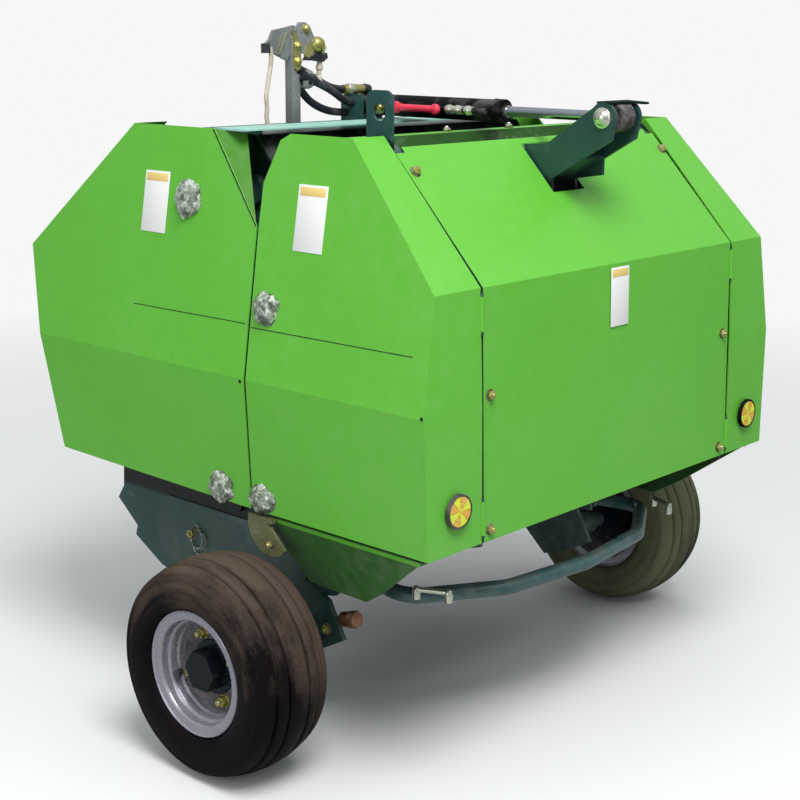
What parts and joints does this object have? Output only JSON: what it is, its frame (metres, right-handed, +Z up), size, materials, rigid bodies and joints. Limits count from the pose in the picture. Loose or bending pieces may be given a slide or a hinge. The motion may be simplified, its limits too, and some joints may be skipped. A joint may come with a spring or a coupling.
{
  "type": "round baler",
  "caption": "Small two-wheeled fixed-chamber round baler: tined pick-up, hinged rear gate lifted by a cylinder on the roof, side guards, bale ramp and parking leg.",
  "frame": {"origin": "middle of the floor box, on the ground", "axes": "+Y is forward travel, +X the machine's right, +Z up"},
  "size_m": [1.447, 1.397, 1.371],
  "materials": {
    "cover": "bright green paint, satin",
    "panel": "bright green paint, satin",
    "frame": "dark blue-green paint",
    "tyre": "dusty rubber",
    "rim": "silver paint",
    "hub": "dark paint",
    "chrome": "polished rod",
    "barrel": "black gloss paint",
    "zinc": "yellow zinc plating",
    "steel": "worn steel",
    "reflector": "amber reflector",
    "hose": "black hose",
    "lever": "red paint",
    "deck": "light blue-green paint",
    "casting": "painted casting"
  },
  "bodies": {
    "frame": {"side_plate_left": "frame", "side_plate_right": "frame", "front_panel": "panel", "frame_beams": "frame", "roof_deck": "deck", "cylinder_mount": "frame", "axle_left": "frame", "axle_right": "frame", "stripper_bands": "frame", "hitch_frame": "frame", "gearbox": "casting", "front_rollers": "steel", "control_post": "steel", "hose_upper": "hose", "hose_lower": "hose", "hose_coupled": "hose", "hose_coupler": "zinc"},
    "tailgate": {"tail_plate_left": "frame", "tail_plate_right": "frame", "rear_panel": "panel", "tail_frame": "cover", "clevis_bracket": "frame", "skirt_left": "cover", "skirt_right": "cover", "tail_rollers": "steel", "latch_hook_left": "zinc", "latch_hook_right": "zinc"},
    "guard_front_left": {"cover_front_left": "cover"},
    "guard_front_right": {"cover_front_right": "cover"},
    "guard_rear_left": {"cover_rear_left": "cover", "reflector_left": "reflector"},
    "guard_rear_right": {"cover_rear_right": "cover", "reflector_right": "reflector"},
    "cylinder": {"cylinder_barrel": "barrel", "oil_line": "zinc", "valve_lever": "lever"},
    "rod": {"cylinder_rod": "chrome"},
    "wheel_left": {"tyre_left": "tyre", "rim_left": "rim", "hub_left": "hub"},
    "wheel_right": {"tyre_right": "tyre", "rim_right": "rim", "hub_right": "hub"},
    "reel": {"pickup_reel": "steel"},
    "shaft": {"input_shaft": "steel"},
    "leg": {"parking_leg": "frame"},
    "ramp": {"bale_ramp": "frame"}
  },
  "joints": [
    {"name": "tailgate_hinge", "type": "hinge", "parent": "frame", "child": "tailgate", "pos_m": [0, -0.2375, 1.01], "axis": [-1, 0, 0], "range_deg": [0, 38]},
    {"name": "cylinder_pivot", "type": "hinge", "parent": "frame", "child": "cylinder", "pos_m": [0, -0.0105, 1.205], "axis": [-1, 0, 0], "range_deg": [-1, 26.92]},
    {"name": "rod_slide", "type": "slide", "parent": "cylinder", "child": "rod", "axis": [0, -1, -0.0031], "range_m": [-0.1572, 0.001]},
    {"name": "wheel_left_spin", "type": "hinge", "parent": "frame", "child": "wheel_left", "pos_m": [-0.635, -0.2615, 0.208], "axis": [1, 0, 0], "continuous": true},
    {"name": "wheel_right_spin", "type": "hinge", "parent": "frame", "child": "wheel_right", "pos_m": [0.635, -0.2615, 0.208], "axis": [1, 0, 0], "continuous": true},
    {"name": "reel_spin", "type": "hinge", "parent": "frame", "child": "reel", "pos_m": [0, 0.1245, 0.3], "axis": [1, 0, 0], "continuous": true},
    {"name": "shaft_spin", "type": "hinge", "parent": "frame", "child": "shaft", "pos_m": [0, 0.6385, 0.66], "axis": [0, 1, 0], "continuous": true},
    {"name": "ramp_hinge", "type": "hinge", "parent": "frame", "child": "ramp", "pos_m": [0, -0.3815, 0.33], "axis": [1, 0, 0], "range_deg": [0, 18]},
    {"name": "leg_slide", "type": "slide", "parent": "frame", "child": "leg", "axis": [0, 0, 1], "range_m": [0, 0.3]},
    {"name": "guard_front_left_hinge", "type": "hinge", "parent": "frame", "child": "guard_front_left", "pos_m": [-0.4045, 0.3405, 0.494], "axis": [0, -0.2555, -0.9668], "range_deg": [0, 75]},
    {"name": "guard_front_right_hinge", "type": "hinge", "parent": "frame", "child": "guard_front_right", "pos_m": [0.4045, 0.3405, 0.494], "axis": [0, 0.2555, 0.9668], "range_deg": [0, 75]},
    {"name": "guard_rear_left_hinge", "type": "hinge", "parent": "tailgate", "child": "guard_rear_left", "pos_m": [-0.4045, -0.6885, 0.485], "axis": [0, 0.0289, 0.9996], "range_deg": [0, 75]},
    {"name": "guard_rear_right_hinge", "type": "hinge", "parent": "tailgate", "child": "guard_rear_right", "pos_m": [0.4045, -0.6885, 0.485], "axis": [0, -0.0289, -0.9996], "range_deg": [0, 75]}
  ],
  "couplings": [
    {"joint": "cylinder_pivot", "follows": "tailgate_hinge", "ratio": 0.682},
    {"joint": "rod_slide", "follows": "tailgate_hinge", "m_per_rad": -0.231}
  ]
}
